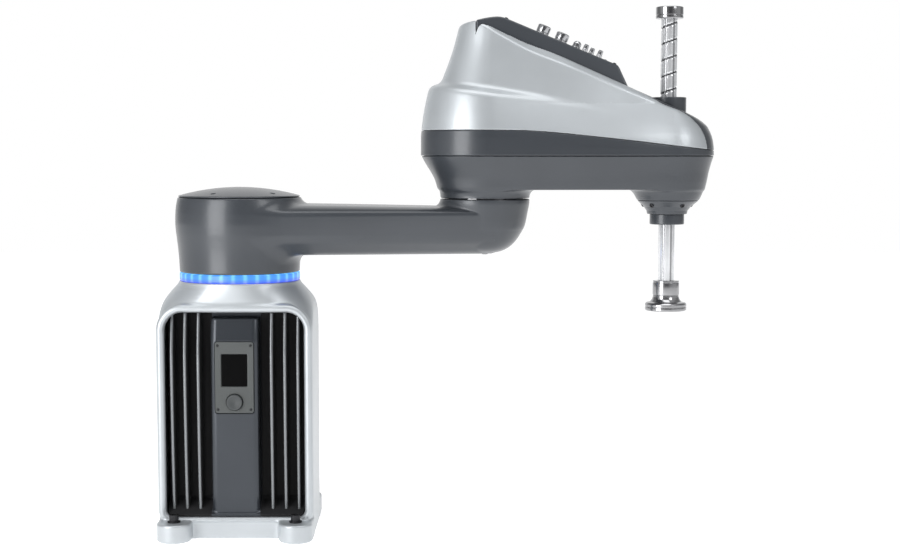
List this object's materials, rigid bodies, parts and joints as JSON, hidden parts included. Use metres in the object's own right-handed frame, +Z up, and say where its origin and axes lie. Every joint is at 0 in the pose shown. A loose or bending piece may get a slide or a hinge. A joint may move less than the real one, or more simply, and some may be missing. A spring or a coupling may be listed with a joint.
{
  "type": "scara robot arm",
  "caption": "Pedestal-mounted horizontal articulated robot arm with an inner link, a covered outer link, and a vertical sliding and turning quill with a tool flange.",
  "frame": {"origin": "on the first joint's vertical axis, at the pedestal's underside", "axes": "+X along the arm when it is stretched straight out, +Y from the display side of the pedestal to its connector side, +Z up"},
  "size_m": [1.091, 0.337, 1.035],
  "materials": {
    "silver_paint": "satin",
    "graphite_paint": "gloss",
    "chassis_paint": "gloss",
    "cover_silver": "satin",
    "cover_graphite": "gloss",
    "bezel_plastic": "matte",
    "screen": "gloss",
    "button_plastic": "satin",
    "light_lens": "gloss",
    "black_oxide": "satin",
    "motor_black": "satin",
    "ground_steel": "polished",
    "turned_steel": "satin",
    "machined_aluminium": "satin",
    "connector_metal": "satin",
    "belt_rubber": "matte",
    "circuit_board": "satin"
  },
  "bodies": {
    "base": {"base_casting": "silver_paint", "amplifier_chassis": "chassis_paint", "display_bezel": "bezel_plastic", "display_screen": "screen", "status_light_ring": "light_lens", "servo_amplifier_board": "circuit_board", "power_supply_unit": "machined_aluminium", "j1_motor": "motor_black", "j1_reducer_ring": "turned_steel", "j1_bearing_outer_ring": "turned_steel", "rear_connector_plate": "chassis_paint", "power_inlet": "button_plastic", "io_connector": "button_plastic", "network_connector": "connector_metal", "hold_down_bolt_front_left": "black_oxide", "hold_down_bolt_front_right": "black_oxide", "hold_down_bolt_rear_left": "black_oxide", "hold_down_bolt_rear_right": "black_oxide"},
    "selector": {"selector_button": "button_plastic"},
    "j1_rotor": {"j1_wave_generator": "turned_steel"},
    "inner_link": {"inner_link_casting": "graphite_paint", "j1_cap": "graphite_paint", "j1_output_hub": "turned_steel", "j2_reducer_ring": "turned_steel", "j2_bearing_outer_ring": "turned_steel", "cup_grease_plug": "button_plastic"},
    "outer_link": {"outer_link_casting": "graphite_paint", "cover_band": "cover_graphite", "silver_cover": "cover_silver", "nose_spine": "cover_graphite", "connector_deck": "cover_graphite", "j2_output_hub": "turned_steel", "j2_motor": "motor_black", "drive_bracket": "machined_aluminium", "signal_connector_upper": "connector_metal", "signal_connector_lower": "connector_metal", "network_socket": "connector_metal", "air_fitting_front": "connector_metal", "air_fitting_middle": "connector_metal", "air_fitting_rear": "connector_metal", "quill_lower_housing": "graphite_paint", "quill_upper_collar": "cover_graphite", "spline_bearing": "turned_steel", "screw_bearing": "turned_steel", "lift_motor": "motor_black", "turn_motor": "motor_black", "lift_belt": "belt_rubber", "turn_belt": "belt_rubber"},
    "j2_rotor": {"j2_wave_generator": "turned_steel"},
    "spline_drive": {"spline_nut": "turned_steel", "spline_pulley": "machined_aluminium", "quill_lower_collar": "graphite_paint"},
    "quill": {"quill_shaft": "ground_steel", "quill_top_stop": "turned_steel", "tool_flange": "turned_steel"},
    "screw_drive": {"screw_nut": "turned_steel", "screw_pulley": "machined_aluminium"},
    "lift_rotor": {"lift_motor_pulley": "machined_aluminium"},
    "turn_rotor": {"turn_motor_pulley": "machined_aluminium"}
  },
  "joints": [
    {"name": "j1_shoulder", "type": "hinge", "parent": "base", "child": "inner_link", "pos_m": [0, 0, 0.515], "axis": [0, 0, 1], "range_deg": [-150, 150]},
    {"name": "j2_elbow", "type": "hinge", "parent": "inner_link", "child": "outer_link", "pos_m": [0.488, 0, 0.66], "axis": [0, 0, 1], "range_deg": [-150, 150]},
    {"name": "j4_turn", "type": "hinge", "parent": "outer_link", "child": "spline_drive", "pos_m": [0.85, 0, 0.66], "axis": [0, 0, 1], "range_deg": [-360, 360]},
    {"name": "j3_lift", "type": "slide", "parent": "spline_drive", "child": "quill", "axis": [0, 0, 1], "range_m": [-0.105, 0.105]},
    {"name": "selector_press", "type": "slide", "parent": "base", "child": "selector", "axis": [0, 1, 0], "range_m": [0, 0.002], "stiffness_N_per_m": 600},
    {"name": "j1_rotor_spin", "type": "hinge", "parent": "base", "child": "j1_rotor", "pos_m": [0, 0, 0.466], "axis": [0, 0, 1], "continuous": true},
    {"name": "j2_rotor_spin", "type": "hinge", "parent": "outer_link", "child": "j2_rotor", "pos_m": [0.488, 0, 0.606], "axis": [0, 0, 1], "continuous": true},
    {"name": "screw_nut_spin", "type": "hinge", "parent": "outer_link", "child": "screw_drive", "pos_m": [0.85, 0, 0.74], "axis": [0, 0, 1], "continuous": true},
    {"name": "lift_rotor_spin", "type": "hinge", "parent": "outer_link", "child": "lift_rotor", "pos_m": [0.638, 0.038, 0.77], "axis": [0, 0, 1], "continuous": true},
    {"name": "turn_rotor_spin", "type": "hinge", "parent": "outer_link", "child": "turn_rotor", "pos_m": [0.716, -0.036, 0.7], "axis": [0, 0, 1], "continuous": true}
  ],
  "couplings": [
    {"joint": "j1_rotor_spin", "follows": "j1_shoulder", "ratio": -80},
    {"joint": "j2_rotor_spin", "follows": "j2_elbow", "ratio": -51},
    {"joint": "screw_nut_spin", "follows": "j3_lift", "rad_per_m": 196.35},
    {"joint": "lift_rotor_spin", "follows": "j3_lift", "rad_per_m": 438.9},
    {"joint": "turn_rotor_spin", "follows": "j4_turn", "ratio": 2.2353}
  ]
}
